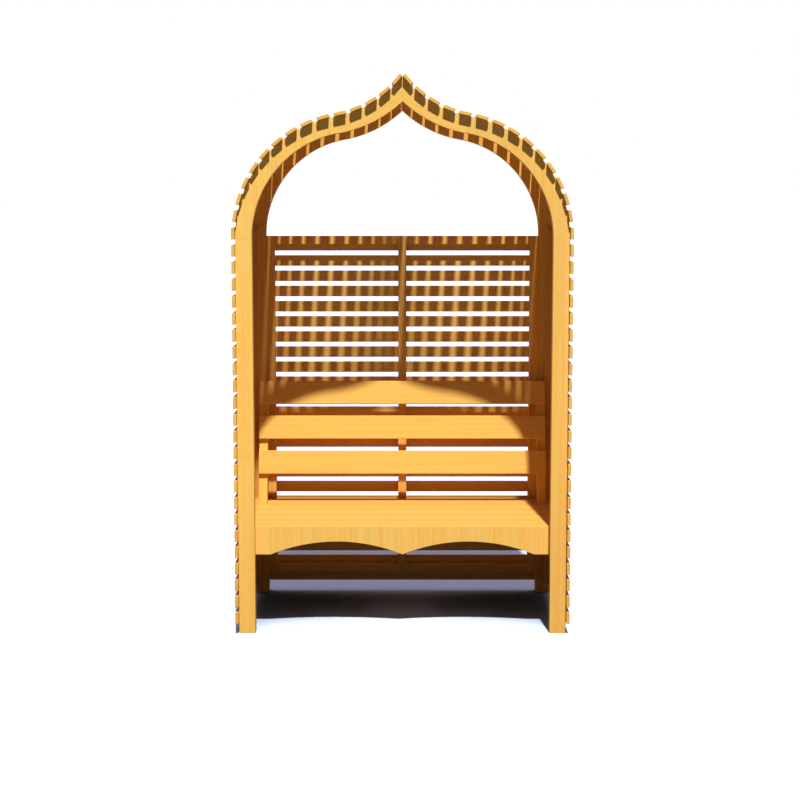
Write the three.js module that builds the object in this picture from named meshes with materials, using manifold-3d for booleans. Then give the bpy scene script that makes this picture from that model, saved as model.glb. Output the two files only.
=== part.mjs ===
// Arbour seat: two arched timber frames, a slatted shell, a back panel, a bench and a leaning backrest.
// Millimetres, +Z up, front towards -Y, the ground at Z = 0 and the object's middle at X = Y = 0.
import * as THREE from 'three';
import { mergeVertices } from 'three/addons/utils/BufferGeometryUtils.js';
import Module from 'manifold-3d';

const wasm = await Module();
wasm.setup();

// Clearance between timbers that touch
const fit = 0.3;

// Arch frames, one in front and one at the rear, each of two posts, two haunches and two ogee pieces.
// The haunch is an arc about a point this far from the middle, and the ogee is the reverse curve
// that starts where the haunch has turned to this angle from level.
const frameDepth = 610;
const frameThickness = 38;
const memberWidth = 63;
const halfOpening = 578;
const springHeight = 1550;
const haunchCentreOffset = 172;
const ogeeOuterRadius = 417;
const turnAngle = THREE.MathUtils.degToRad(10);
const arcSteps = 28;

// Loose tenons in the joints of the frames
const tenonWidth = 34;
const tenonThickness = 12;
const tenonLength = 56;

// Slats of the shell, laid front to back over both frames, and of the back panel. The spacing is
// evened out a little, so that the shell's last slat ends at the point.
const slatWidth = 45.5;
const slatThickness = 13;
const slatSpacing = 65;
const slatOverhang = 20;
const firstSlatHeight = 44;
const joinerThickness = 2;
const joinerWidth = 20;

// Back panel in the rear frame: stiles and rails of one section
const panelTimber = 35;
const panelBottom = 88;
const panelDrop = 6;

// Corner battens in front of the rear posts
const battenSize = 35;
const battenRise = 27;
const battenSetback = 1;

// Seat
const seatHeight = 420;
const seatSlatThickness = 18;
const seatSlatCount = 5;
const seatSlatGap = 7;
const seatEndGap = 11;
const bearerWidth = 35;
const bearerHeight = 60;

// Apron board, straight beside the posts, then two scallops that meet in a cusp at the middle
const apronThickness = 15.5;
const apronHeight = 115;
const apronEndGap = 16;
const scallopShoulder = 59;
const scallopRise = 52;

// Backrest: boards on two leaning supports whose top back corners rest against the rear posts
const lean = THREE.MathUtils.degToRad(12.15);
const backBoardWidth = 98;
const backBoardThickness = 16;
const backBoardPitch = 147.3;
const backBoardCount = 3;
const backrestTop = 931;
const supportWidth = 36;
const supportDepth = 30;

// Screws and bolts
const screwSize = { shank: 3, head: 6, headHeight: 3.5, length: 45 };
const boltSize = { shank: 4, head: 9, headHeight: 4, length: 58 };
const fastenerSides = 12;

const timberColours = { frame: 0xe8b062, slat: 0xe3a557, seat: 0xeab566, trim: 0xdca055, tenon: 0xd9b184 };
const steelColour = 0x9c9a94;

const arbour = new THREE.Group();
const sides = { right: 1, left: -1 };
const sidewaysAxis = new THREE.Vector3(1, 0, 0);

function timber(colour) {
  return new THREE.MeshStandardMaterial({ color: colour, roughness: 0.55, metalness: 0 });
}

function steel() {
  return new THREE.MeshStandardMaterial({ color: steelColour, roughness: 0.4, metalness: 0.9 });
}

function addMesh(parent, name, geometry, material, position = [0, 0, 0]) {
  const mesh = new THREE.Mesh(geometry, material);
  mesh.name = name;
  mesh.position.set(...position);
  parent.add(mesh);
}

// A closed mesh with shared corners, ready for cutting and joining
function solidOf(geometry) {
  const bare = geometry.clone();
  bare.deleteAttribute('normal');
  bare.deleteAttribute('uv');
  const merged = mergeVertices(bare);
  return new wasm.Manifold(new wasm.Mesh({
    numProp: 3,
    vertProperties: merged.attributes.position.array,
    triVerts: new Uint32Array(merged.index.array),
  }));
}

function geometryOf(solid) {
  const mesh = solid.getMesh();
  const geometry = new THREE.BufferGeometry();
  geometry.setAttribute('position', new THREE.BufferAttribute(mesh.vertProperties, 3));
  geometry.setIndex(new THREE.BufferAttribute(mesh.triVerts, 1));
  geometry.computeVertexNormals();
  return geometry;
}

function cut(geometry, cutters) {
  return geometryOf(cutters.reduce((body, cutter) => body.subtract(solidOf(cutter)), solidOf(geometry)));
}

function join(geometries) {
  const [first, ...others] = geometries.map(solidOf);
  return geometryOf(others.reduce((body, other) => body.add(other), first));
}

// A rectangular timber between two corners. Bores and notches are given in its parent's frame.
function addTimber(parent, name, colour, low, high, cutters = []) {
  const size = low.map((value, i) => high[i] - value);
  const middle = low.map((value, i) => (value + high[i]) / 2);
  const back = middle.map((value) => -value);
  const box = new THREE.BoxGeometry(...size);
  const tools = cutters.map((cutter) => cutter.clone().translate(...back));
  addMesh(parent, name, tools.length ? cut(box, tools) : box, timber(colour), middle);
}

// An outline with X across and Z up, thickened evenly to the front and the rear of Y = 0
function plate(shape, thickness) {
  const options = { depth: thickness, bevelEnabled: false, curveSegments: arcSteps };
  return new THREE.ExtrudeGeometry(shape, options).rotateX(Math.PI / 2).translate(0, thickness / 2, 0);
}

// Groups for the right half and its mirror image on the left
function addHalves(parent, build) {
  for (const [side, direction] of Object.entries(sides)) {
    const half = new THREE.Group();
    half.scale.x = direction;
    parent.add(half);
    build(half, side);
  }
}

// Screw or bolt, its head's outer face at the origin and its shank along +Y
function fastener({ shank, head, headHeight, length }, play = 0) {
  const profile = [
    new THREE.Vector2(0, -play),
    new THREE.Vector2(head + play, -play),
    new THREE.Vector2(head + play, headHeight + play),
    new THREE.Vector2(shank + play, headHeight + play),
    new THREE.Vector2(shank + play, length + play),
    new THREE.Vector2(0, length + play),
  ];
  return new THREE.LatheGeometry(profile, fastenerSides);
}

// Places that follow from the frames
const halfWidth = halfOpening + memberWidth;
const frameMiddle = (frameDepth - frameThickness) / 2;
const rearFace = frameDepth / 2;
const frontFrameBack = frameThickness - frameDepth / 2;
const rearFrameFront = frameDepth / 2 - frameThickness;
const haunchInnerRadius = halfOpening - haunchCentreOffset;
const haunchOuterRadius = haunchInnerRadius + memberWidth;
const haunchEnd = Math.PI / 2 - turnAngle;
const ogeeInnerRadius = ogeeOuterRadius + memberWidth;
const turnDirection = new THREE.Vector2(Math.sin(turnAngle), Math.cos(turnAngle));
const haunchCentre = new THREE.Vector2(haunchCentreOffset, springHeight);
const ogeeCentre = haunchCentre.clone().addScaledVector(turnDirection, haunchInnerRadius + ogeeInnerRadius);
const ogeeStart = haunchEnd + Math.PI;

// The angle about the ogee's centre at which a circle meets the joint at the frame's point
function apexAngle(radius) {
  return Math.PI + Math.acos((ogeeCentre.x - fit / 2) / radius);
}

// Haunch, drawn about its own centre
function haunchShape() {
  const shape = new THREE.Shape();
  shape.absarc(0, 0, haunchOuterRadius, 0, haunchEnd, false);
  shape.absarc(0, 0, haunchInnerRadius, haunchEnd, 0, true);
  return shape;
}

// Ogee piece, drawn about its own centre, a hair clear of the haunch
function ogeeShape() {
  const start = ogeeStart - fit / ogeeOuterRadius;
  const shape = new THREE.Shape();
  shape.absarc(0, 0, ogeeInnerRadius, apexAngle(ogeeInnerRadius), start, false);
  shape.absarc(0, 0, ogeeOuterRadius, start, apexAngle(ogeeOuterRadius), true);
  return shape;
}

// Loose tenons: where each lies in its frame, and how far its length turns from upright
const haunchMiddleRadius = haunchInnerRadius + memberWidth / 2;
const ogeeMiddleRadius = ogeeOuterRadius + memberWidth / 2;
const apexReach = ogeeCentre.x - tenonLength / 4;
const tenonPlaces = {
  post: { at: [haunchCentre.x + haunchMiddleRadius, 0, springHeight], turn: 0 },
  haunch: {
    at: [
      haunchCentre.x + haunchMiddleRadius * turnDirection.x,
      0,
      haunchCentre.y + haunchMiddleRadius * turnDirection.y,
    ],
    turn: haunchEnd,
  },
  apex: {
    at: [0, 0, ogeeCentre.y - Math.sqrt(ogeeMiddleRadius ** 2 - apexReach ** 2)],
    turn: Math.PI / 2,
  },
};

function tenon(turn, play = 0) {
  const size = [tenonWidth, tenonThickness, tenonLength].map((value) => value + 2 * play);
  return new THREE.BoxGeometry(...size).rotateY(-turn);
}

// The pocket of a tenon, in the frame of a piece that stands at an origin of its own
function pocket({ at, turn }, origin) {
  return tenon(turn, fit).translate(at[0] - origin[0], 0, at[2] - origin[2]);
}

// Places of the seat's joints, used by the frames as well
const apronFront = frontFrameBack + fit;
const apronBack = apronFront + apronThickness;
const bearerInner = halfWidth - bearerWidth;
const bearerTop = seatHeight - seatSlatThickness - fit;
const bearerBottom = bearerTop - bearerHeight;
const jointHeight = (bearerTop + bearerBottom) / 2;
const battenFront = rearFrameFront - fit - battenSize;
const railBack = battenFront - fit;
const railFront = railBack - apronThickness;

// Apron screws run forwards into the front posts, beside the bearers
const apronScrewAt = [(halfOpening + bearerInner) / 2, apronBack, jointHeight];

function apronScrew(play = 0) {
  return fastener(screwSize, play).rotateX(Math.PI);
}

// Rail screws run backwards through the rear rail into the corner battens
const railScrewAt = [halfWidth - battenSize / 2, railFront, jointHeight];

function boresOf(bore, [x, y, z]) {
  return Object.values(sides).map((direction) => bore.clone().translate(direction * x, y, z));
}

for (const [end, y] of Object.entries({ front: -frameMiddle, rear: frameMiddle })) {
  const frame = new THREE.Group();
  frame.position.y = y;
  arbour.add(frame);
  const postBores = [pocket(tenonPlaces.post, [0, 0, 0])];
  if (end === 'front') {
    const [boreX, boreY, boreZ] = apronScrewAt;
    postBores.push(apronScrew(fit).translate(boreX, boreY - y, boreZ));
  }
  const haunchAt = [haunchCentre.x, 0, haunchCentre.y];
  const haunchPockets = [pocket(tenonPlaces.post, haunchAt), pocket(tenonPlaces.haunch, haunchAt)];
  const ogeeAt = [ogeeCentre.x, 0, ogeeCentre.y];
  const ogeePockets = [pocket(tenonPlaces.haunch, ogeeAt), pocket(tenonPlaces.apex, ogeeAt)];
  const haunch = cut(plate(haunchShape(), frameThickness), haunchPockets);
  const ogee = cut(plate(ogeeShape(), frameThickness), ogeePockets);
  addHalves(frame, (half, side) => {
    const name = side + '_' + end + '_';
    const postLow = [halfOpening, -frameThickness / 2, 0];
    const postHigh = [halfWidth, frameThickness / 2, springHeight - fit];
    addTimber(half, name + 'post', timberColours.frame, postLow, postHigh, postBores);
    addMesh(half, name + 'haunch', haunch, timber(timberColours.frame), haunchAt);
    addMesh(half, name + 'ogee', ogee, timber(timberColours.frame), ogeeAt);
    for (const joint of ['post', 'haunch']) {
      const { at, turn } = tenonPlaces[joint];
      addMesh(half, name + joint + '_tenon', tenon(turn), timber(timberColours.tenon), at);
    }
  });
  const { at, turn } = tenonPlaces.apex;
  addMesh(frame, end + '_apex_tenon', tenon(turn), timber(timberColours.tenon), at);
}

// Lengths along the outside of the right half, from the ground to the point
const haunchLength = haunchOuterRadius * haunchEnd;
const ogeeLength = ogeeOuterRadius * (ogeeStart - apexAngle(ogeeOuterRadius));
const slattedLength = springHeight + haunchLength + ogeeLength - firstSlatHeight - slatWidth - fit;
const shellSpaces = Math.floor(slattedLength / slatSpacing);
const slatPitch = slattedLength / shellSpaces;
const shellSlatCount = shellSpaces + 1;
const sideSlatCount = Math.ceil((springHeight - firstSlatHeight) / slatPitch);

// A slat's place on the right half: the middle of its inner face, and the way that face's back looks
function shellPlace(index) {
  const distance = firstSlatHeight + slatWidth / 2 + index * slatPitch;
  if (index < sideSlatCount) {
    return { at: new THREE.Vector2(halfWidth + fit, distance), angle: 0 };
  }
  const pastSpring = distance - springHeight;
  const out = new THREE.Vector2();
  if (pastSpring < haunchLength) {
    const angle = pastSpring / haunchOuterRadius;
    out.set(Math.cos(angle), Math.sin(angle));
    return { at: out.multiplyScalar(haunchOuterRadius + fit).add(haunchCentre), angle };
  }
  const angle = ogeeStart - (pastSpring - haunchLength) / ogeeOuterRadius;
  const radius = Math.sqrt((ogeeOuterRadius - fit) ** 2 - (slatWidth / 2) ** 2);
  out.set(Math.cos(angle), Math.sin(angle));
  return { at: out.multiplyScalar(radius).add(ogeeCentre), angle: angle - Math.PI };
}

// One slat, from front to back, its inner face on its place
function shellSlat({ at, angle }) {
  const slat = new THREE.BoxGeometry(slatThickness, frameDepth + 2 * slatOverhang, slatWidth);
  return slat.translate(slatThickness / 2, 0, 0).rotateY(-angle).translate(at.x, 0, at.y);
}

// A thin strip on the outer face of a frame, which makes one body of the slats along it
function shellJoiner(places, y) {
  const inner = [];
  const outer = [];
  for (const { at, angle } of places) {
    const out = new THREE.Vector2(Math.cos(angle), Math.sin(angle));
    const up = new THREE.Vector2(-Math.sin(angle), Math.cos(angle));
    for (const direction of [-1, 1]) {
      const corner = at.clone().addScaledVector(up, (direction * slatWidth) / 2);
      inner.push(corner);
      outer.push(corner.clone().addScaledVector(out, joinerThickness));
    }
  }
  return plate(new THREE.Shape([...inner, ...outer.reverse()]), joinerWidth).translate(0, y, 0);
}

function shellGroup(first, end) {
  const places = [];
  for (let i = first; i < end; i += 1) places.push(shellPlace(i));
  const joiners = [-frameMiddle, frameMiddle].map((y) => shellJoiner(places, y));
  return join([...places.map(shellSlat), ...joiners]);
}

const sideSlats = shellGroup(0, sideSlatCount);
const roofSlats = shellGroup(sideSlatCount, shellSlatCount);
addHalves(arbour, (half, side) => {
  addMesh(half, side + '_side_slats', sideSlats, timber(timberColours.slat));
  addMesh(half, side + '_roof_slats', roofSlats, timber(timberColours.slat));
});

// Back panel: stiles and rails inside the rear frame, flush with its rear face
const panelTop = springHeight - panelDrop;
const panelFront = rearFace - panelTimber;
const outerStile = halfOpening - fit;
const centreStile = panelTimber / 2;
addTimber(
  arbour,
  'centre_back_stile',
  timberColours.trim,
  [-centreStile, panelFront, panelBottom],
  [centreStile, rearFace, panelTop],
);
addHalves(arbour, (half, side) => {
  const stileLow = [outerStile - panelTimber, panelFront, panelBottom];
  const stileHigh = [outerStile, rearFace, panelTop];
  addTimber(half, side + '_back_stile', timberColours.trim, stileLow, stileHigh);
  for (const [rail, bottom] of Object.entries({ top: panelTop - panelTimber, bottom: panelBottom })) {
    const railLow = [centreStile + fit, panelFront, bottom];
    const railHigh = [outerStile - panelTimber - fit, rearFace, bottom + panelTimber];
    addTimber(half, side + '_back_' + rail + '_rail', timberColours.trim, railLow, railHigh);
  }
});

// Slats across the rear face of the panel and posts, with a thin strip on each post and on the centre stile
const backSlatCount = Math.floor((panelTop - firstSlatHeight - slatWidth) / slatPitch) + 1;
const backSlatsHeight = (backSlatCount - 1) * slatPitch + slatWidth;
const backSlatPieces = [];
for (let i = 0; i < backSlatCount; i += 1) {
  const slat = new THREE.BoxGeometry(2 * halfWidth, slatThickness, slatWidth);
  backSlatPieces.push(slat.translate(0, slatThickness / 2, slatWidth / 2 + i * slatPitch));
}
for (const x of [memberWidth / 2 - halfWidth, 0, halfWidth - memberWidth / 2]) {
  const strip = new THREE.BoxGeometry(joinerWidth, joinerThickness, backSlatsHeight);
  backSlatPieces.push(strip.translate(x, joinerThickness / 2, backSlatsHeight / 2));
}
const backSlatsAt = [0, rearFace + fit, firstSlatHeight];
addMesh(arbour, 'back_slats', join(backSlatPieces), timber(timberColours.slat), backSlatsAt);

// Corner battens in front of the rear posts
addHalves(arbour, (half, side) => {
  const low = [halfWidth - battenSize, battenFront, firstSlatHeight];
  const high = [halfWidth - battenSetback, rearFrameFront - fit, springHeight + battenRise];
  const bore = fastener(screwSize, fit).translate(...railScrewAt);
  addTimber(half, side + '_corner_batten', timberColours.trim, low, high, [bore]);
});

// Backrest, upright in its own group, whose origin is the top edge of the boards' front face
const supportBack = backBoardThickness + fit + supportDepth;
const supportOuter = halfWidth - Math.max(bearerWidth, battenSize) - fit;
const supportLength = (backrestTop - bearerBottom - supportBack * Math.sin(lean)) / Math.cos(lean);
const backrest = new THREE.Group();
backrest.position.set(0, rearFrameFront - fit - supportBack * Math.cos(lean), backrestTop);
backrest.rotation.x = -lean;
backrest.updateMatrix();
arbour.add(backrest);

// Bolts run outwards through the foot of each support into the side bearer
const boltDrop = (backrestTop - jointHeight) / Math.cos(lean);
const boltInBackrest = new THREE.Vector3(0, supportBack - supportDepth / 2, -boltDrop);
const boltAt = boltInBackrest.clone().applyAxisAngle(sidewaysAxis, -lean).add(backrest.position);
boltAt.setX(supportOuter - supportWidth - boltSize.headHeight - fit);

function supportBolt(play = 0) {
  return fastener(boltSize, play).rotateZ(-Math.PI / 2);
}

addHalves(backrest, (half, side) => {
  const low = [supportOuter - supportWidth, backBoardThickness + fit, -supportLength];
  const high = [supportOuter, supportBack, 0];
  const bore = supportBolt(fit).rotateX(lean).translate(boltAt.x, boltInBackrest.y, boltInBackrest.z);
  addTimber(half, side + '_backrest_support', timberColours.trim, low, high, [bore]);
});
for (let i = 0; i < backBoardCount; i += 1) {
  const top = (i + 1 - backBoardCount) * backBoardPitch;
  const low = [-supportOuter, 0, top - backBoardWidth];
  const high = [supportOuter, backBoardThickness, top];
  addTimber(backrest, 'backrest_board_' + (i + 1), timberColours.seat, low, high);
}

// How far back a face of the supports is at a height, the face given by its depth in the backrest
function supportFaceAt(depth, height) {
  return backrest.position.y + depth / Math.cos(lean) - (backrestTop - height) * Math.tan(lean);
}

// A square notch in the slats round each support, open above and below
function supportNotch(direction) {
  const front = supportFaceAt(supportBack - supportDepth, bearerTop) - fit;
  const back = supportFaceAt(supportBack, seatHeight) + fit;
  const size = [supportWidth + 2 * fit, back - front, seatHeight - bearerTop + 2 * fit];
  const notch = new THREE.BoxGeometry(...size);
  const x = direction * (supportOuter - supportWidth / 2);
  return notch.translate(x, (front + back) / 2, (bearerTop + seatHeight) / 2);
}

// Seat slats between the apron and the rear rail
const seatFront = apronBack + fit;
const seatBack = railFront - fit;
const seatHalfLength = halfWidth - seatEndGap;
const seatSlatWidth = (seatBack - seatFront - (seatSlatCount - 1) * seatSlatGap) / seatSlatCount;
const notches = Object.values(sides).map(supportNotch);
for (let i = 0; i < seatSlatCount; i += 1) {
  const front = seatFront + i * (seatSlatWidth + seatSlatGap);
  const low = [-seatHalfLength, front, seatHeight - seatSlatThickness];
  const high = [seatHalfLength, front + seatSlatWidth, seatHeight];
  addTimber(arbour, 'seat_slat_' + (i + 1), timberColours.seat, low, high, notches);
}

// Rear rail, side bearers and centre bearer under the slats, with their fasteners
const railLow = [-seatHalfLength, railFront, bearerBottom];
const railHigh = [seatHalfLength, railBack, seatHeight];
const railBores = boresOf(fastener(screwSize, fit), railScrewAt);
addTimber(arbour, 'seat_rear_rail', timberColours.trim, railLow, railHigh, railBores);
addTimber(
  arbour,
  'centre_seat_bearer',
  timberColours.trim,
  [-bearerWidth / 2, seatFront, bearerBottom],
  [bearerWidth / 2, seatBack, bearerTop],
);
addHalves(arbour, (half, side) => {
  const low = [bearerInner, seatFront, bearerBottom];
  const high = [halfWidth, seatBack, bearerTop];
  const bore = supportBolt(fit).translate(...boltAt);
  addTimber(half, side + '_seat_bearer', timberColours.trim, low, high, [bore]);
  addMesh(half, side + '_support_bolt', supportBolt(), steel(), boltAt.toArray());
  addMesh(half, side + '_rail_screw', fastener(screwSize), steel(), railScrewAt);
  addMesh(half, side + '_apron_screw', apronScrew(), steel(), apronScrewAt);
});

// Apron, drawn about the middle of its top edge
const apronHalfLength = halfWidth - apronEndGap;
const scallopChord = halfOpening - scallopShoulder;
const scallopRadius = (scallopChord ** 2 / 4 + scallopRise ** 2) / (2 * scallopRise);
const scallopHalfAngle = Math.asin(scallopChord / 2 / scallopRadius);
const scallopCentre = scallopRise - apronHeight - scallopRadius;
const apronShape = new THREE.Shape();
apronShape.moveTo(-apronHalfLength, 0);
apronShape.lineTo(-apronHalfLength, -apronHeight);
for (const direction of [-1, 1]) {
  const start = Math.PI / 2 + scallopHalfAngle;
  const end = Math.PI / 2 - scallopHalfAngle;
  apronShape.absarc((direction * scallopChord) / 2, scallopCentre, scallopRadius, start, end, true);
}
apronShape.lineTo(apronHalfLength, -apronHeight);
apronShape.lineTo(apronHalfLength, 0);
const apronMiddle = (apronFront + apronBack) / 2;
const [screwX, screwY, screwZ] = apronScrewAt;
const apronBores = boresOf(apronScrew(fit), [screwX, screwY - apronMiddle, screwZ - seatHeight]);
const apron = cut(plate(apronShape, apronThickness), apronBores);
addMesh(arbour, 'seat_apron', apron, timber(timberColours.seat), [0, apronMiddle, seatHeight]);

export default arbour;
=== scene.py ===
"""Arbour seat of golden softwood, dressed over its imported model, with a floor, a camera and lamps.

Metres, +Z up, the open front towards -Y and the ground at Z = 0.
"""

import itertools
import math
import random

import bmesh
import bpy
from mathutils import Matrix, Vector


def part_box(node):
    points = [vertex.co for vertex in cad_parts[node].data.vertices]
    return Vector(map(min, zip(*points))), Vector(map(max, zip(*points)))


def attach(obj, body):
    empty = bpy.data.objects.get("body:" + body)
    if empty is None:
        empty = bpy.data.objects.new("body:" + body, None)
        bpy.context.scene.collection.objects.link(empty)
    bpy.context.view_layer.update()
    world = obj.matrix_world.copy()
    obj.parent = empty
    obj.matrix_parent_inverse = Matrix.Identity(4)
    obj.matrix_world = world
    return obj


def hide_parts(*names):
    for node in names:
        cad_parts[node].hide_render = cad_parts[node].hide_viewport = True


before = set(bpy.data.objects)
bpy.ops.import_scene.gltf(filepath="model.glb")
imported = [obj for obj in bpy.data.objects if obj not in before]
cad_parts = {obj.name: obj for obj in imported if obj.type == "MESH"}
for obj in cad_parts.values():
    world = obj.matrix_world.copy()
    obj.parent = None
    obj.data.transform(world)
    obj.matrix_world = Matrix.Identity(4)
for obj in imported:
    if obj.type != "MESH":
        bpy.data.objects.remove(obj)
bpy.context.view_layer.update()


# Front and rear frames: four posts of planed softwood under a golden satin stain.
# Their grain runs upright, and their sawn feet stand on the ground, where they darken a little.
frame_pale = (1.0, 0.64, 0.154, 1)
frame_dark = (0.96, 0.46, 0.070, 1)
# The rear frame is the front's stock painted darker: painted shade for the arbour's shade it stands in.
rear_shaded_pale = (0.82, 0.46, 0.095, 1)
rear_shaded_dark = (0.70, 0.34, 0.052, 1)
post_easing = 0.0006
sawn_end = (0.80, 0.74, 0.68, 1)
board_numbers = itertools.count(1)


def add_node(tree, kind, inputs, settings):
    """Adds a node. An input's value may be a number, a colour or another node's output."""
    node = tree.nodes.new(kind)
    for name, value in settings.items():
        setattr(node, name, value)
    for socket, value in inputs.items():
        if isinstance(value, bpy.types.NodeSocket):
            tree.links.new(value, node.inputs[socket])
        else:
            node.inputs[socket].default_value = value
    return node


def put(tree, kind, inputs, **settings):
    """Adds a shader node."""
    return add_node(tree, "ShaderNode" + kind, inputs, settings)


def reckon(tree, operation, *values):
    """A sum, product or the like of numbers."""
    return put(tree, "Math", dict(enumerate(values)), operation=operation).outputs[0]


def reckon_vector(tree, operation, *values):
    """The same for vectors. A number given for a vector counts in all three directions."""
    return put(tree, "VectorMath", dict(enumerate(values)), operation=operation).outputs["Vector"]


def noise(tree, place, scale, detail):
    """Cloudy noise about 0.5."""
    fineness = 0.55
    inputs = {"Vector": place, "Scale": scale, "Detail": detail, "Roughness": fineness}
    return put(tree, "TexNoise", inputs).outputs[0]


def ease(tree, value, low, high, start=0.0, end=1.0):
    """Goes gently from start, where the value is low, to end, where it is high."""
    inputs = {"Value": value, "From Min": low, "From Max": high, "To Min": start, "To Max": end}
    return put(tree, "MapRange", inputs, interpolation_type="SMOOTHSTEP").outputs[0]


def tint(tree, share, colour, other, blend="MIX"):
    """One colour over another, by a share."""
    node = put(tree, "Mix", {0: share, 6: colour, 7: other}, data_type="RGBA", blend_type=blend)
    return node.outputs[2]


def effect(name, inputs, outputs):
    """An empty node group that the materials share: its tree, what it is given and what it returns."""
    tree = bpy.data.node_groups.new(name, "ShaderNodeTree")
    for socket, kind in inputs.items():
        tree.interface.new_socket(socket, in_out="INPUT", socket_type="NodeSocket" + kind)
    for socket, kind in outputs.items():
        tree.interface.new_socket(socket, in_out="OUTPUT", socket_type="NodeSocket" + kind)
    given = tree.nodes.new("NodeGroupInput").outputs
    result = tree.nodes.new("NodeGroupOutput").inputs
    return tree, given, result


def timber_grain():
    """Straight-grained softwood: growth rings about a pith of the board's own, streaks and fibres."""
    inputs = {
        "Position": "Vector",
        "Grain": "Vector",
        "Board": "Float",
        "Pale": "Color",
        "Dark": "Color",
        "Ring Width": "Float",
        "Streaks": "Float",
        "End": "Color",
    }
    outputs = {"Colour": "Color", "Roughness": "Float", "Height": "Float"}
    tree, given, result = effect("timber grain", inputs, outputs)
    seed = put(tree, "TexWhiteNoise", {"W": given["Board"]}, noise_dimensions="1D").outputs
    lengthwise = put(tree, "VectorMath", {0: given["Position"], 1: given["Grain"]}, operation="DOT_PRODUCT")
    run = reckon_vector(tree, "MULTIPLY", given["Grain"], lengthwise.outputs["Value"])
    across = reckon_vector(tree, "SUBTRACT", given["Position"], run)
    board_shift = (7, 7, 7)
    shift = reckon_vector(tree, "MULTIPLY", seed["Color"], board_shift)
    shifted = reckon_vector(tree, "ADD", across, shift)

    # Of each pattern, its frequency along the grain as a share, its scale across and its detail
    patterns = {
        "broad": (0.05, 16, 2),
        "streaks": (0.012, 120, 4),
        "fibres": (0.02, 850, 2),
        "pores": (0.035, 1300, 2),
        "flecks": (0.1, 390, 3),
        "sway": (0.1, 8, 2),
    }
    pattern = {}
    for name, (stretch, scale, detail) in patterns.items():
        drawn_out = reckon_vector(tree, "MULTIPLY_ADD", run, (stretch, stretch, stretch), shifted)
        pattern[name] = noise(tree, drawn_out, scale, detail)
    pore_levels = (0.66, 0.74)
    fleck_levels = (0.54, 0.70)
    pores = ease(tree, pattern["pores"], *pore_levels)
    flecks = ease(tree, pattern["flecks"], *fleck_levels)

    # Growth rings, pale early wood darkening to a sharp late edge
    pith_range = (0.5, 0.5, 0.5)
    pith_start = (-0.25, -0.25, -0.25)
    ring_sway = 0.024
    late_start = 0.3
    late_end = 0.9
    pith = reckon_vector(tree, "MULTIPLY_ADD", seed["Color"], pith_range, pith_start)
    from_pith = reckon_vector(tree, "SUBTRACT", across, pith)
    radius = put(tree, "VectorMath", {0: from_pith}, operation="LENGTH").outputs["Value"]
    swayed = reckon(tree, "MULTIPLY_ADD", pattern["sway"], ring_sway, radius)
    ring = reckon(tree, "FRACT", reckon(tree, "DIVIDE", swayed, given["Ring Width"]))
    darkening = ease(tree, ring, late_start, late_end)
    late = reckon(tree, "MULTIPLY", darkening, ease(tree, ring, late_end, 1, 1, 0))

    # Tone: late wood and flecks, and how far each pattern stands above its level, by a weight
    plain_tone = 0.14
    late_weight = 0.20
    fleck_weight = 0.4
    weights = {"streaks": (0.42, 1.5), "broad": (0.5, 0.8), "fibres": (0.5, 0.8)}
    tone = reckon(tree, "MULTIPLY_ADD", late, late_weight, plain_tone)
    for name, (level, weight) in weights.items():
        above = reckon(tree, "SUBTRACT", pattern[name], level)
        tone = reckon(tree, "MULTIPLY_ADD", above, weight, tone)
    tone = reckon(tree, "MULTIPLY_ADD", flecks, fleck_weight, tone)
    share = reckon(tree, "MULTIPLY", tone, given["Streaks"])
    share = put(tree, "Clamp", {"Value": share}).outputs[0]
    colour = tint(tree, share, given["Pale"], given["Dark"])

    # Every board differs a little in hue and value, and its broad clouds in value
    hue_range = (0.498, 0.502)
    value_range = (0.97, 1.03)
    cloud_levels = (0.2, 0.8)
    pore_darkening = 0.3
    hue = ease(tree, seed["Value"], 0, 1, *hue_range)
    cloud_value = ease(tree, pattern["broad"], *cloud_levels, *value_range)
    board_value = ease(tree, seed["Value"], 0, 1, *value_range)
    value = reckon(tree, "MULTIPLY", cloud_value, board_value)
    colour = put(tree, "HueSaturation", {"Hue": hue, "Value": value, "Color": colour}).outputs[0]
    colour = tint(tree, reckon(tree, "MULTIPLY", pores, pore_darkening), colour, given["Dark"], "MULTIPLY")

    # Sawn ends take the stain in their own way and stay rougher. An end colour above 1, as the slats',
    # lightens the ends instead: a painted highlight.
    end_facing = (0.6, 0.95)
    plain_roughness = 0.58
    streak_roughness = 0.2
    end_roughness = 0.15
    normal = put(tree, "NewGeometry", {}).outputs["True Normal"]
    facing = put(tree, "VectorMath", {0: normal, 1: given["Grain"]}, operation="DOT_PRODUCT")
    end = ease(tree, reckon(tree, "ABSOLUTE", facing.outputs["Value"]), *end_facing)
    tree.links.new(tint(tree, end, colour, given["End"], "MULTIPLY"), result["Colour"])
    roughness = reckon(tree, "MULTIPLY_ADD", pattern["streaks"], streak_roughness, plain_roughness)
    roughness = reckon(tree, "MULTIPLY_ADD", end, end_roughness, roughness)
    tree.links.new(roughness, result["Roughness"])

    # Fibres, late wood and streaks stand up, and pores sink in
    fibre_height = 0.6
    late_height = 0.35
    streak_height = 0.5
    pore_height = -0.5
    height = reckon(tree, "MULTIPLY", pattern["fibres"], fibre_height)
    height = reckon(tree, "MULTIPLY_ADD", late, late_height, height)
    height = reckon(tree, "MULTIPLY_ADD", pattern["streaks"], streak_height, height)
    height = reckon(tree, "MULTIPLY_ADD", pores, pore_height, height)
    tree.links.new(height, result["Height"])
    return tree


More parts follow.
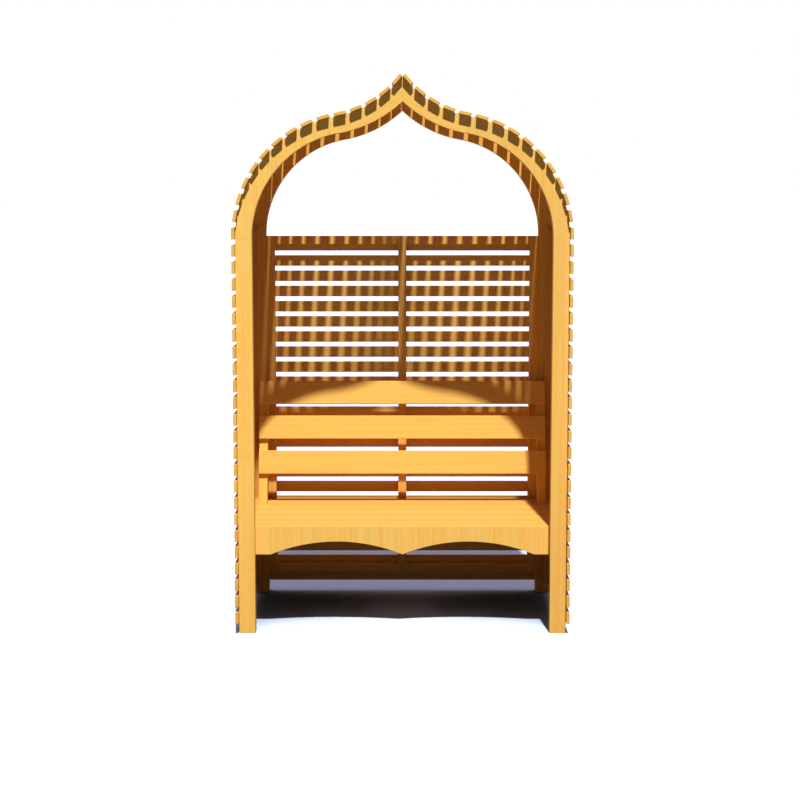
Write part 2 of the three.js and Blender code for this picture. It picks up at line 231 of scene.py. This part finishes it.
def worn_edges():
    """Where hands and weather have rubbed the finish off the edges, as a mask."""
    bevel_samples = 6
    edge_levels = (0.86, 0.995)
    patch_scale = 45
    patch_detail = 3
    patch_levels = (0.35, 0.65)
    least_wear = 0.15
    inputs = {"Position": "Vector", "Reach": "Float"}
    tree, given, result = effect("worn edges", inputs, {"Mask": "Float"})
    rounded = put(tree, "Bevel", {"Radius": given["Reach"]}, samples=bevel_samples).outputs[0]
    normal = put(tree, "NewGeometry", {}).outputs["True Normal"]
    same = put(tree, "VectorMath", {0: rounded, 1: normal}, operation="DOT_PRODUCT").outputs["Value"]
    edge = ease(tree, same, *edge_levels, 1, 0)
    patches = noise(tree, given["Position"], patch_scale, patch_detail)
    patchy = ease(tree, patches, *patch_levels, least_wear, 1)
    tree.links.new(reckon(tree, "MULTIPLY", edge, patchy), result["Mask"])
    return tree


def ground_stain():
    """Damp and dirt at the foot, and a darkening towards the bottom that fades out above the seat, as a
    mask.
    """
    ragged_scale = 60
    ragged_detail = 3
    ragged_depth = -0.06
    damp_foot = -0.04
    fades_out = 0.85
    darkest = 0.7
    tree, given, result = effect("ground stain", {"Position": "Vector", "Reach": "Float"}, {"Mask": "Float"})
    height = put(tree, "SeparateXYZ", {0: given["Position"]}).outputs["Z"]
    clouds = noise(tree, given["Position"], ragged_scale, ragged_detail)
    ragged = reckon(tree, "MULTIPLY_ADD", clouds, ragged_depth, height)
    damp = ease(tree, ragged, damp_foot, given["Reach"], 1, 0)
    darkened = ease(tree, height, 0, fades_out, darkest, 0)
    tree.links.new(reckon(tree, "MAXIMUM", damp, darkened), result["Mask"])
    return tree


def place(tree, group, inputs):
    """Puts a shared effect into a material and returns what it gives."""
    return put(tree, "Group", inputs, node_tree=group).outputs


def new_material(name):
    """A new material, the tree of its nodes and its shader."""
    material = bpy.data.materials.new(name)
    material.use_nodes = True
    return material, material.node_tree, material.node_tree.nodes["Principled BSDF"]


grain_effect = timber_grain()
wear_effect = worn_edges()
stain_effect = ground_stain()


def timber(name, pale, dark, ring_width=0.0042, streaks=1.0, end=sawn_end, damp=0.45):
    """A stained timber. Each object says which way its grain runs and which board it is cut from."""
    satin = 0.22
    edge_reach = 0.003
    rubbed_share = 0.55
    rubbed_paler = 1.12
    rubbed_rougher = 0.12
    stain_reach = 0.05
    stain_colour = (0.72, 0.54, 0.52, 1)
    relief = {"Distance": 0.0004, "Strength": 0.5}
    material, tree, shader = new_material(name)
    shader.inputs["Specular IOR Level"].default_value = satin
    position = put(tree, "TexCoord", {}).outputs["Object"]
    grain = put(tree, "Attribute", {}, attribute_type="OBJECT", attribute_name="grain").outputs["Vector"]
    piece = put(tree, "Attribute", {}, attribute_type="OBJECT", attribute_name="board").outputs["Fac"]
    slat = put(tree, "Attribute", {}, attribute_type="GEOMETRY", attribute_name="slat").outputs["Fac"]
    inputs = {"Position": position, "Grain": grain, "Board": reckon(tree, "ADD", piece, slat)}
    inputs |= {"Pale": pale, "Dark": dark, "Ring Width": ring_width, "Streaks": streaks, "End": end}
    wood = place(tree, grain_effect, inputs)
    wear = place(tree, wear_effect, {"Position": position, "Reach": edge_reach})["Mask"]
    stain = place(tree, stain_effect, {"Position": position, "Reach": stain_reach})["Mask"]
    rubbed = tuple(min(1, rubbed_paler * part) for part in pale)
    colour = tint(tree, reckon(tree, "MULTIPLY", wear, rubbed_share), wood["Colour"], rubbed)
    # Darker towards the bottom: damp and dirt at the foot, and a darkening that fades out above the seat.
    colour = tint(tree, reckon(tree, "MULTIPLY", stain, damp), colour, stain_colour, "MULTIPLY")
    tree.links.new(colour, shader.inputs["Base Color"])
    roughness = reckon(tree, "MULTIPLY_ADD", wear, rubbed_rougher, wood["Roughness"])
    tree.links.new(roughness, shader.inputs["Roughness"])
    bump = put(tree, "Bump", {"Height": wood["Height"]} | relief)
    tree.links.new(bump.outputs[0], shader.inputs["Normal"])
    return material


def mesh_step(name):
    """An empty group of geometry nodes with a mesh in and a mesh out, and what adds a node to it."""
    tree = bpy.data.node_groups.new(name, "GeometryNodeTree")
    tree.interface.new_socket("Mesh", in_out="INPUT", socket_type="NodeSocketGeometry")
    tree.interface.new_socket("Mesh", in_out="OUTPUT", socket_type="NodeSocketGeometry")

    def add(kind, inputs, **settings):
        """Adds a node to the group and returns its outputs."""
        return add_node(tree, kind, inputs, settings).outputs

    given = add("NodeGroupInput", {})[0]
    return tree, given, add


def edge_marker():
    """Marks a timber's long sharp edges, which get rounded. The edges of its bores are short."""
    tree, mesh, add = mesh_step("mark edges")
    shortest = 0.006
    sharpest = math.radians(30)
    ends = add("GeometryNodeInputMeshEdgeVertices", {})
    span = add("ShaderNodeVectorMath", {0: ends["Position 1"], 1: ends["Position 2"]}, operation="DISTANCE")
    angle = add("GeometryNodeInputMeshEdgeAngle", {})["Unsigned Angle"]
    long = add("ShaderNodeMath", {0: span["Value"], 1: shortest}, operation="GREATER_THAN")[0]
    sharp = add("ShaderNodeMath", {0: angle, 1: sharpest}, operation="GREATER_THAN")[0]
    both = add("ShaderNodeMath", {0: long, 1: sharp}, operation="MULTIPLY")[0]
    inputs = {"Geometry": mesh, "Name": "bevel_weight_edge", "Value": both}
    marked = add("GeometryNodeStoreNamedAttribute", inputs, data_type="FLOAT", domain="EDGE")[0]
    add("NodeGroupOutput", {0: marked})
    return tree


def face_shader():
    """Shades curves and rounded edges smooth, and keeps each flat face flat up to its own edges."""
    tree, mesh, add = mesh_step("shade faces")
    crisp = math.radians(10)
    rounding = math.radians(30)
    slack = math.radians(4)
    plain = add("GeometryNodeRemoveAttribute", {"Geometry": mesh, "Name": "custom_normal"})[0]
    smooth = add("GeometryNodeSetShadeSmooth", {"Geometry": plain, "Shade Smooth": True})[0]
    angle = add("GeometryNodeInputMeshEdgeAngle", {})["Unsigned Angle"]
    turned = add("ShaderNodeMath", {0: angle, 1: crisp}, operation="GREATER_THAN")[0]
    rounded = add("ShaderNodeMath", {0: angle, 1: rounding, 2: slack}, operation="COMPARE")[0]
    border = add("ShaderNodeMath", {0: turned, 1: rounded}, operation="SUBTRACT")[0]
    inputs = {"Geometry": smooth, "Selection": border, "Shade Smooth": False}
    shaded = add("GeometryNodeSetShadeSmooth", inputs, domain="EDGE")[0]
    add("NodeGroupOutput", {0: shaded})
    return tree


edge_marks = edge_marker()
face_shading = face_shader()
weld_distance = 0.00002
flat_angle = math.radians(0.5)
rounding_steps = 3


def add_step(piece, name, group):
    """Adds a group of geometry nodes as a modifier."""
    piece.modifiers.new(name, "NODES").node_group = group


def ease_edges(piece, radius):
    """Rounds a timber's edges with modifiers, which leave its own mesh as it is."""
    weld = piece.modifiers.new("weld", "WELD")
    weld.merge_threshold = weld_distance
    flatten = piece.modifiers.new("flatten", "DECIMATE")
    flatten.decimate_type = "DISSOLVE"
    flatten.angle_limit = flat_angle
    add_step(piece, "mark edges", edge_marks)
    bevel = piece.modifiers.new("ease", "BEVEL")
    bevel.limit_method = "WEIGHT"
    bevel.width = radius
    bevel.segments = rounding_steps
    bevel.use_clamp_overlap = False
    add_step(piece, "shade faces", face_shading)


def dress(name, material, grain, easing, board=None):
    """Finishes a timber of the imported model. Each is a board of its own unless it shares another's."""
    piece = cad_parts[name]
    piece.material_slots[0].material = material
    piece["grain"] = [float(part) for part in Vector(grain).normalized()]
    piece["board"] = float(next(board_numbers) if board is None else board)
    ease_edges(piece, easing)


upright = (0, 0, 1)
frame_timbers = {
    "front": timber("front frame timber", frame_pale, frame_dark),
    "rear": timber("rear frame timber painted shade", rear_shaded_pale, rear_shaded_dark),
}
for side, end in itertools.product(("right", "left"), ("front", "rear")):
    dress(side + "_" + end + "_post", frame_timbers[end], upright, post_easing)


# Haunches and ogee pieces: the curved members of both frames, sawn from wide softwood boards.
# A haunch carries on its post's upright grain, and an ogee's runs straight from joint to joint.
def middle(name):
    """The middle of a node's box."""
    low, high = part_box(name)
    return (low + high) / 2


for side, end in itertools.product(("right", "left"), ("front", "rear")):
    name = side + "_" + end
    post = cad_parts[name + "_post"]["board"]
    joint = middle(name + "_haunch_tenon")
    point = middle(end + "_apex_tenon")
    dress(name + "_haunch", frame_timbers[end], upright, post_easing, post)
    dress(name + "_ogee", frame_timbers[end], point - joint, post_easing)


# Loose tenons: bare beech, glued in the pockets of the frames' joints and hidden there.
# Their grain runs across each joint.
beech_pale = (0.66, 0.44, 0.25, 1)
beech_dark = (0.50, 0.30, 0.15, 1)
beech_ring = 0.0022
beech_streaks = 0.7
tenon_easing = 0.0008
side_to_side = Vector((1, 0, 0))
tenon_timber = timber("bare beech", beech_pale, beech_dark, beech_ring, beech_streaks)
for side, end in itertools.product(("right", "left"), ("front", "rear")):
    name = side + "_" + end
    foot = middle(name + "_post_tenon")
    joint = middle(name + "_haunch_tenon")
    point = middle(end + "_apex_tenon")
    dress(name + "_post_tenon", tenon_timber, upright, tenon_easing)
    dress(name + "_haunch_tenon", tenon_timber, point - foot, tenon_easing)
for end in ("front", "rear"):
    dress(end + "_apex_tenon", tenon_timber, side_to_side, tenon_easing)


# Back panel: three stiles and four rails of square softwood, set flush with the rear frame's back.
# The corner battens beside it are square strips too, in the trim timber of the seat's bearers.
# Panel and trim are the frames' stock painted darker: painted shade, as they stand in shade. The trim is
# darkest.
panel_shaded_pale = (0.86, 0.47, 0.105, 1)
panel_shaded_dark = (0.74, 0.34, 0.058, 1)
trim_shaded_pale = (0.72, 0.37, 0.080, 1)
trim_shaded_dark = (0.58, 0.25, 0.040, 1)
trim_easing = 0.0012
panel_timber = timber("panel timber painted shade", panel_shaded_pale, panel_shaded_dark)
trim_timber = timber("trim timber painted shade", trim_shaded_pale, trim_shaded_dark)
for name in ("right_back_stile", "left_back_stile", "centre_back_stile"):
    dress(name, panel_timber, upright, trim_easing)
for side, height in itertools.product(("right", "left"), ("top", "bottom")):
    dress(side + "_back_" + height + "_rail", panel_timber, side_to_side, trim_easing)
for side in ("right", "left"):
    dress(side + "_corner_batten", trim_timber, upright, trim_easing)


# Seat: five slats on three bearers, between a scalloped apron and a rear rail, all planed softwood.
# The apron is cut across its board, so its grain stands upright, while the slats' runs along them.
# The seat's timber is painted darker than the frames': painted shade that offsets the strong sun on the
# slats' tops.
seat_shaded_pale = (0.68, 0.362, 0.076, 1)
seat_shaded_dark = (0.60, 0.276, 0.048, 1)
seat_easing = 0.0007
apron_easing = 0.0015
apron_end = (0.62, 0.53, 0.46, 1)
seat_damp = 0.1
seat_slat_count = 5
front_to_back = Vector((0, 1, 0))
seat_timber = timber("seat timber painted shade", seat_shaded_pale, seat_shaded_dark, damp=seat_damp)
apron_timber = timber("apron timber", frame_pale, frame_dark, end=apron_end, damp=seat_damp)
dress("seat_apron", apron_timber, upright, apron_easing)
for number in range(1, seat_slat_count + 1):
    dress("seat_slat_" + str(number), seat_timber, side_to_side, seat_easing)
dress("seat_rear_rail", trim_timber, side_to_side, trim_easing)
for side in ("right", "left", "centre"):
    dress(side + "_seat_bearer", trim_timber, front_to_back, trim_easing)


# Backrest: three wide boards on two leaning supports, which stand in notches of the last seat slat.
# The supports lean back to the rear frame, and their grain leans with them. What fixes the boards
# to them isn't modelled.
board_pale = (0.86, 0.49, 0.100, 1)
board_dark = (0.77, 0.38, 0.062, 1)
board_easing = 0.0022
board_count = 3
board_timber = timber("board timber", board_pale, board_dark)
leaning = middle("backrest_board_3") - middle("backrest_board_1")
for number in range(1, board_count + 1):
    dress("backrest_board_" + str(number), board_timber, side_to_side, board_easing)
for side in ("right", "left"):
    dress(side + "_backrest_support", board_timber, leaning, trim_easing)


# Slats of the shell: thin softwood strips laid front to back over both frames, each its own board.
# In the solids a strip joins each group, and here every slat lies apart, with rounded edges.
# The slats' timber is painted darker than the frames': painted shade, as most slats stand in shade.
slat_pale = (0.76, 0.40, 0.086, 1)
slat_dark = (0.62, 0.28, 0.043, 1)
# Their ends are painted lighter than their faces: a painted highlight of the sun on the ends.
slat_end_highlight = (1.25, 1.42, 1.45, 1)
slat_easing = 0.0012
slat_profile = 0.5
slat_board_step = 100.0
slat_timber = timber("slat timber", slat_pale, slat_dark, end=slat_end_highlight)


def slat_places(name):
    """The middle, outward direction and area of each slat's outer face, the solid's largest faces."""
    nearly = 0.98
    solid = bmesh.new()
    solid.from_mesh(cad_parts[name].data)
    bmesh.ops.remove_doubles(solid, verts=solid.verts, dist=weld_distance)
    bmesh.ops.dissolve_limit(solid, angle_limit=flat_angle, verts=solid.verts, edges=solid.edges)
    whole = [face for face in solid.faces if len(face.verts) == 4]
    largest = max(face.calc_area() for face in whole)
    outer = [face for face in whole if face.calc_area() > nearly * largest]
    places = [(face.calc_center_median(), face.normal.copy(), face.calc_area()) for face in outer]
    solid.free()
    return places


def add_mesh(name, body, material):
    """Turns built geometry into a piece that rides with the arbour."""
    mesh = bpy.data.meshes.new(name)
    body.to_mesh(mesh)
    body.free()
    mesh.materials.append(material)
    piece = bpy.data.objects.new(name, mesh)
    bpy.context.scene.collection.objects.link(piece)
    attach(piece, "root")
    return piece


def lay_slats(name, node, along, thickness, material):
    """Lays the slats of one group as separate boards with rounded edges."""
    body = bmesh.new()
    number = body.faces.layers.float.new("slat")
    low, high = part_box(node)
    length = abs((high - low).dot(along))
    for index, (centre, out, area) in enumerate(slat_places(node)):
        turn = Matrix([along, out.cross(along), out]).transposed().to_4x4()
        size = Matrix.Diagonal((length, area / length, thickness, 1))
        at = Matrix.Translation(centre - out * thickness / 2)
        verts = bmesh.ops.create_cube(body, size=1, matrix=at @ turn @ size)["verts"]
        edges = list({edge for vert in verts for edge in vert.link_edges})
        before = set(body.faces) - {face for vert in verts for face in vert.link_faces}
        bmesh.ops.bevel(
            body, geom=edges, offset=slat_easing, segments=rounding_steps, profile=slat_profile,
            affect="EDGES",
        )
        for face in set(body.faces) - before:
            face[number] = index + 1
    piece = add_mesh(name, body, material)
    piece["grain"] = list(along)
    piece["board"] = slat_board_step * next(board_numbers)
    add_step(piece, "shade faces", face_shading)
    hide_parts(node)


side_low, side_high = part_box("right_side_slats")
slat_thickness = side_high.x - side_low.x
for side in ("right", "left"):
    lay_slats(side + "_side_boards", side + "_side_slats", front_to_back, slat_thickness, slat_timber)
    lay_slats(side + "_roof_boards", side + "_roof_slats", front_to_back, slat_thickness, slat_timber)


# Slats of the back panel: the same strips, laid across the rear posts and the panel's stiles.
# They are painted paler than the shell's slats: painted light that lifts the shade they stand in.
back_slat_lifted_pale = (0.84, 0.47, 0.115, 1)
back_slat_lifted_dark = (0.69, 0.34, 0.060, 1)
back_slat_timber = timber("back slat timber painted light", back_slat_lifted_pale, back_slat_lifted_dark)
lay_slats("back_boards", "back_slats", side_to_side, slat_thickness, back_slat_timber)


# Nails: two zinc-plated heads at each crossing of a slat and the timber that carries it.
# They are driven from outside and stand a hair proud, so none shows from the front.
nail_radius = 0.0034
nail_crown = 0.0024
nail_height = 0.0014
nail_proud = 0.0006
nail_sides = 12
nail_spread = 0.24
nail_stray = 0.0015
hammer = random.Random(5)


def metal(name, colour):
    """Zinc-plated steel, dulled in patches."""
    metallic = 0.9
    bloom_scale = 420
    bloom_detail = 4
    bloom_levels = (0.35, 0.7)
    dull_share = 0.62
    edge_reach = 0.0008
    worn_share = 0.5
    worn_colour = (0.8, 0.79, 0.76, 1)
    rough_levels = (0.3, 0.7)
    roughness_range = (0.34, 0.56)
    relief = {"Distance": 0.0001, "Strength": 0.4}
    material, tree, shader = new_material(name)
    shader.inputs["Metallic"].default_value = metallic
    position = put(tree, "TexCoord", {}).outputs["Object"]
    bloom = noise(tree, position, bloom_scale, bloom_detail)
    wear = place(tree, wear_effect, {"Position": position, "Reach": edge_reach})["Mask"]
    dull = tuple(dull_share * part for part in colour[:3]) + (1,)
    finish = tint(tree, ease(tree, bloom, *bloom_levels), colour, dull)
    finish = tint(tree, reckon(tree, "MULTIPLY", wear, worn_share), finish, worn_colour)
    tree.links.new(finish, shader.inputs["Base Color"])
    roughness = ease(tree, bloom, *rough_levels, *roughness_range)
    tree.links.new(roughness, shader.inputs["Roughness"])
    bump = put(tree, "Bump", {"Height": bloom} | relief)
    tree.links.new(bump.outputs[0], shader.inputs["Normal"])
    return material


zinc_colour = (0.55, 0.54, 0.50, 1)
zinc_steel = metal("zinc steel", zinc_colour)


def drive_nails(name, node, along, crossings):
    """Drives two nails at each crossing of a group's slats."""
    body = bmesh.new()
    low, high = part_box(node)
    length = abs((high - low).dot(along))
    for centre, out, area in slat_places(node):
        across = out.cross(along)
        turn = Matrix([along, across, out]).transposed().to_4x4()
        for crossing, direction in itertools.product(crossings, (-1, 1)):
            spot = centre + along * (crossing - centre.dot(along))
            spot += across * direction * nail_spread * area / length
            spot += across * hammer.uniform(-nail_stray, nail_stray)
            spot += along * hammer.uniform(-nail_stray, nail_stray)
            spot += out * (nail_proud - nail_height / 2)
            at = Matrix.Translation(spot) @ turn
            bmesh.ops.create_cone(
                body, cap_ends=True, segments=nail_sides, radius1=nail_radius, radius2=nail_crown,
                depth=nail_height, matrix=at,
            )
    add_mesh(name, body, zinc_steel)


frame_lines = [middle("right_front_post").y, middle("right_rear_post").y]
stile_lines = [middle(name).x for name in ("left_rear_post", "centre_back_stile", "right_rear_post")]
for side in ("right", "left"):
    drive_nails(side + "_side_nails", side + "_side_slats", front_to_back, frame_lines)
    drive_nails(side + "_roof_nails", side + "_roof_slats", front_to_back, frame_lines)
drive_nails("back_nails", "back_slats", side_to_side, stile_lines)


# Screws and bolts: zinc-plated steel with plain round heads. The screws' heads are let in flush, in
# the back of the apron and the front of the rear rail. The bolts' heads stand inside the supports.
for side, kind in itertools.product(("right", "left"), ("apron_screw", "rail_screw", "support_bolt")):
    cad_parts[side + "_" + kind].material_slots[0].material = zinc_steel


# Floor: a plain pale floor, large enough to reach past the view, which keeps the arbour's shadow.
# What the view sees of it is darker where the arbour covers it from the open sky, a painted shade, and
# bluish in all its shade, a painted skylight.
floor_size = 900
floor_colour = (0.09, 0.085, 0.07, 1)
# Bluish, so the floor clips to white in the sun and shows blue in its shade: painted skylight.
floor_seen = (0.57, 0.625, 0.86, 1)
floor_painted_shade = (0.07, 0.11, 0.14, 1)
floor_roughness = 0.9
cover_reach = 0.6
cover_samples = 24
cover_levels = (0.22, 0.42)


def seen_directly(tree):
    """1 for rays from the camera, off a glossy face or through glass, and 0 for the light's own."""
    rays = put(tree, "LightPath", {}).outputs
    seen = reckon(tree, "MAXIMUM", rays["Is Camera Ray"], rays["Is Glossy Ray"])
    return reckon(tree, "MAXIMUM", seen, rays["Is Transmission Ray"])


bpy.ops.mesh.primitive_plane_add(size=floor_size)
floor = bpy.context.object
floor.name = "floor"
floor_finish, floor_tree, floor_shader = new_material("floor")
# Painted shade: ambient occlusion darkens the floor's colour where the arbour covers it.
cover = put(floor_tree, "AmbientOcclusion", {"Distance": cover_reach}, samples=cover_samples)
open_share = ease(floor_tree, cover.outputs["AO"], *cover_levels)
shown = tint(floor_tree, open_share, floor_painted_shade, floor_seen)
floor_tone = tint(floor_tree, seen_directly(floor_tree), floor_colour, shown)
floor_tree.links.new(floor_tone, floor_shader.inputs["Base Color"])
floor_shader.inputs["Roughness"].default_value = floor_roughness
floor_shader.inputs["Specular IOR Level"].default_value = 0
floor.data.materials.append(floor_finish)


# Camera: at standing eye height in front of the seat, tilted down a little.
film_width = 36
lens_length = 62.204
lens_shift = -0.085
eye = (-0.0098, -5.6027, 1.7018)
level = 90
tilt = 5.515
camera = bpy.data.objects.new("camera", bpy.data.cameras.new("camera"))
bpy.context.scene.collection.objects.link(camera)
camera.data.sensor_width = film_width
camera.data.lens = lens_length
camera.data.shift_y = lens_shift
camera.location = eye
camera.rotation_euler = (math.radians(level - tilt), 0, 0)
bpy.context.scene.camera = camera


# Light: a sun high in front, a little from the right, and a pale sky that fills the shade.
# The sky is dim in front and near the ground, and brighter behind, where no sun falls.
sun_towards = Vector((-0.0555, 0.484, -1))
sun_energy = 5.8
sun_width = math.radians(1.5)
sky_in_front = (0.08, 0.08, 0.10, 1)
sky_behind = (0.71, 0.69, 0.74, 1)
sky_rearward = (-0.3, 0.5)
sky_upward = (0, 0.4)
white = (1, 1, 1, 1)
sun = bpy.data.objects.new("sun", bpy.data.lights.new("sun", "SUN"))
bpy.context.scene.collection.objects.link(sun)
sun.data.energy = sun_energy
sun.data.angle = sun_width
sun.rotation_euler = sun_towards.to_track_quat("-Z", "Y").to_euler()
world = bpy.data.worlds.new("studio")
world.use_nodes = True
bpy.context.scene.world = world
sky = world.node_tree
backdrop = put(sky, "Background", {"Color": white, "Strength": 1})
direction = put(sky, "TexCoord", {}).outputs["Generated"]
heading = put(sky, "SeparateXYZ", {0: direction}).outputs
rearward = ease(sky, heading["Y"], *sky_rearward)
share = reckon(sky, "MULTIPLY", rearward, ease(sky, heading["Z"], *sky_upward))
tone = tint(sky, share, sky_in_front, sky_behind)
fill = put(sky, "Background", {"Color": tone, "Strength": 1})
sources = {0: seen_directly(sky), 1: fill.outputs[0], 2: backdrop.outputs[0]}
choice = put(sky, "MixShader", sources)
sky.links.new(choice.outputs[0], sky.nodes["World Output"].inputs["Surface"])
bpy.context.scene.view_settings.view_transform = "Standard"


bpy.context.view_layer.update()
